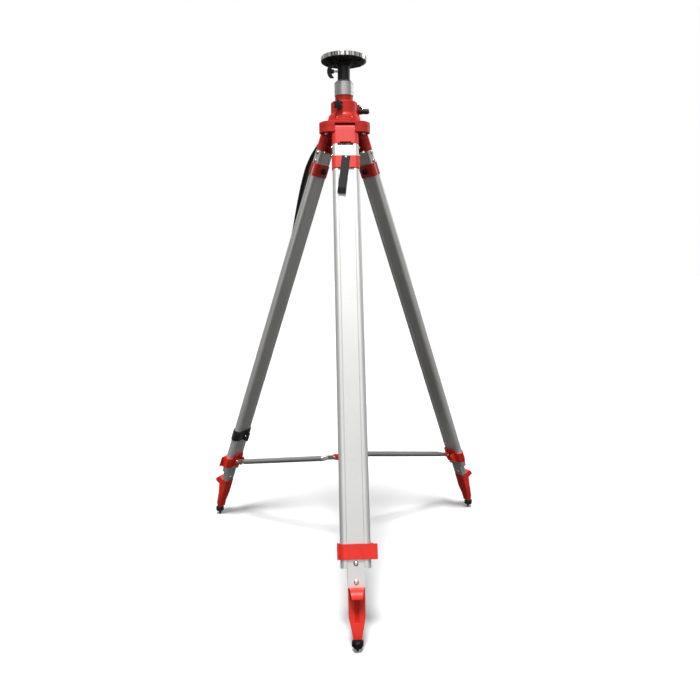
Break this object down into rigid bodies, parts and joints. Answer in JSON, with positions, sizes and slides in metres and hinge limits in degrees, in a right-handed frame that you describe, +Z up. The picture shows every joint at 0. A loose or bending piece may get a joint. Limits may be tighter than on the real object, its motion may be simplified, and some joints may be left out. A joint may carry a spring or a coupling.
{
  "type": "surveyor tripod",
  "caption": "Elevating survey tripod with telescopic aluminium legs, red castings, a geared centre column with crank, a spreader and a round instrument plate.",
  "frame": {"origin": "ground point under the column, in the plane of the three spike tips at rest", "axes": "+Z up along the column; -Y towards the front leg; the other legs stand at 30 and 150 degrees from +X"},
  "size_m": [1.0128, 0.8869, 1.614],
  "materials": {
    "red_paint": "semi-gloss bright red paint on castings",
    "leg_aluminium": "satin extruded aluminium, finely drawn along its length",
    "column_aluminium": "turned satin aluminium",
    "bright_plate": "bright turned plate, polished rim",
    "bright_steel": "bright zinc-plated steel",
    "dark_steel": "dark oiled steel",
    "dark_plastic": "black moulded plastic and black cast parts, satin",
    "black_rubber": "matte black rubber",
    "black_webbing": "black woven webbing",
    "grey_webbing": "dark grey woven webbing with a black hem"
  },
  "bodies": {
    "shoulder": {"shoulder_upper": "red_paint", "shoulder_lower": "red_paint", "shoulder_bolts": "bright_steel", "hinge_pins": "bright_steel", "gear_housing": "red_paint", "bushes": "dark_plastic"},
    "column": {"column_tube": "column_aluminium", "gear_rack": "bright_steel", "column_head": "column_aluminium", "column_plug": "dark_plastic"},
    "swivel_head": {"head_neck": "dark_plastic", "head_plate": "bright_plate", "centre_screw": "bright_plate"},
    "wing_screw": {"wing_knob": "dark_plastic", "wing_stud": "bright_steel"},
    "crank": {"pinion_shaft": "bright_steel", "crank_arm": "dark_plastic", "crank_hardware": "bright_steel"},
    "crank_handle": {"crank_grip": "dark_plastic"},
    "column_lock": {"lock_knob": "dark_plastic", "lock_stud": "bright_steel"},
    "hub": {"spreader_hub": "red_paint", "hub_rivets": "bright_steel"},
    "leg_front": {"casting_front": "red_paint", "rails_front": "leg_aluminium", "fixings_front": "bright_steel", "band_front": "red_paint", "bumper_front": "black_rubber", "strap_front": "grey_webbing", "clamp_front": "red_paint"},
    "lower_leg_front": {"inner_leg_front": "leg_aluminium", "foot_front": "red_paint", "spike_front": "dark_steel"},
    "strut_arm_front": {"strut_front": "leg_aluminium"},
    "clamp_lever_front": {"lever_front": "red_paint"},
    "leg_right": {"casting_right": "red_paint", "rails_right": "leg_aluminium", "fixings_right": "bright_steel", "band_right": "red_paint", "bumper_right": "black_rubber", "strap_right": "black_webbing", "clamp_right": "red_paint"},
    "lower_leg_right": {"inner_leg_right": "leg_aluminium", "foot_right": "red_paint", "spike_right": "dark_steel"},
    "strut_arm_right": {"strut_right": "leg_aluminium"},
    "clamp_lever_right": {"lever_right": "red_paint"},
    "leg_left": {"casting_left": "red_paint", "rails_left": "leg_aluminium", "fixings_left": "bright_steel", "band_left": "red_paint", "bumper_left": "black_rubber", "strap_left": "grey_webbing", "clamp_left": "red_paint", "carry_strap": "black_webbing"},
    "lower_leg_left": {"inner_leg_left": "leg_aluminium", "foot_left": "red_paint", "spike_left": "dark_steel"},
    "strut_arm_left": {"strut_left": "leg_aluminium"},
    "clamp_lever_left": {"lever_left": "red_paint"}
  },
  "joints": [
    {"name": "column_lift", "type": "slide", "parent": "shoulder", "child": "column", "axis": [0, 0, 1], "range_m": [0, 0.5]},
    {"name": "head_swivel", "type": "hinge", "parent": "column", "child": "swivel_head", "pos_m": [0, 0, 1.54], "axis": [0, 0, 1], "continuous": true},
    {"name": "wing_turn", "type": "hinge", "parent": "swivel_head", "child": "wing_screw", "pos_m": [-0.03, 0, 1.558], "axis": [-1, 0, 0], "range_deg": [0, 720]},
    {"name": "crank_turn", "type": "hinge", "parent": "shoulder", "child": "crank", "pos_m": [0.045, 0.033, 1.452], "axis": [-1, 0, 0], "range_deg": [0, 3184]},
    {"name": "grip_spin", "type": "hinge", "parent": "crank", "child": "crank_handle", "pos_m": [0.068, 0.00889, 1.44226], "axis": [1, 0, 0], "continuous": true},
    {"name": "lock_turn", "type": "hinge", "parent": "shoulder", "child": "column_lock", "pos_m": [-0.01873, -0.04636, 1.45], "axis": [-0.3746, -0.9272, 0], "range_deg": [0, 720]},
    {"name": "leg_fold_front", "type": "hinge", "parent": "shoulder", "child": "leg_front", "pos_m": [0, -0.052, 1.378], "axis": [1, 0, 0], "range_deg": [0, 19]},
    {"name": "strut_fold_front", "type": "hinge", "parent": "leg_front", "child": "strut_arm_front", "pos_m": [0.0125, -0.46257, 0.23309], "axis": [1, 0, 0], "range_deg": [0, 57.02]},
    {"name": "leg_extend_front", "type": "slide", "parent": "leg_front", "child": "lower_leg_front", "axis": [0, -0.3584, -0.9336], "range_m": [0, 0.9]},
    {"name": "clamp_open_front", "type": "hinge", "parent": "leg_front", "child": "clamp_lever_front", "pos_m": [-0.04485, -0.49154, 0.23296], "axis": [0, -0.3584, -0.9336], "range_deg": [0, 110]},
    {"name": "leg_fold_right", "type": "hinge", "parent": "shoulder", "child": "leg_right", "pos_m": [0.04503, 0.026, 1.378], "axis": [-0.5, 0.866, 0], "range_deg": [0, 19]},
    {"name": "strut_fold_right", "type": "hinge", "parent": "leg_right", "child": "strut_arm_right", "pos_m": [0.39435, 0.24211, 0.23309], "axis": [-0.5, 0.866, 0], "range_deg": [0, 57.02]},
    {"name": "leg_extend_right", "type": "slide", "parent": "leg_right", "child": "lower_leg_right", "axis": [0.3104, 0.1792, -0.9336], "range_m": [0, 0.9]},
    {"name": "clamp_open_right", "type": "hinge", "parent": "leg_right", "child": "clamp_lever_right", "pos_m": [0.44811, 0.20693, 0.23296], "axis": [0.3104, 0.1792, -0.9336], "range_deg": [0, 110]},
    {"name": "leg_fold_left", "type": "hinge", "parent": "shoulder", "child": "leg_left", "pos_m": [-0.04503, 0.026, 1.378], "axis": [-0.5, -0.866, 0], "range_deg": [0, 19]},
    {"name": "strut_fold_left", "type": "hinge", "parent": "leg_left", "child": "strut_arm_left", "pos_m": [-0.40685, 0.22046, 0.23309], "axis": [-0.5, -0.866, 0], "range_deg": [0, 57.02]},
    {"name": "leg_extend_left", "type": "slide", "parent": "leg_left", "child": "lower_leg_left", "axis": [-0.3104, 0.1792, -0.9336], "range_m": [0, 0.9]},
    {"name": "clamp_open_left", "type": "hinge", "parent": "leg_left", "child": "clamp_lever_left", "pos_m": [-0.40326, 0.28461, 0.23296], "axis": [-0.3104, 0.1792, -0.9336], "range_deg": [0, 110]},
    {"name": "hub_rise", "type": "slide", "parent": "shoulder", "child": "hub", "axis": [0, 0, 1], "range_m": [0, 0.27264]}
  ],
  "couplings": [
    {"joint": "crank_turn", "follows": "column_lift", "rad_per_m": 111.11},
    {"joint": "leg_fold_right", "follows": "leg_fold_front", "ratio": 1},
    {"joint": "leg_fold_left", "follows": "leg_fold_front", "ratio": 1},
    {"joint": "hub_rise", "follows": "leg_fold_front", "m_per_rad": 0.82186},
    {"joint": "strut_fold_front", "follows": "leg_fold_front", "ratio": 3.0004},
    {"joint": "strut_fold_right", "follows": "leg_fold_front", "ratio": 3.0004},
    {"joint": "strut_fold_left", "follows": "leg_fold_front", "ratio": 3.0004}
  ]
}
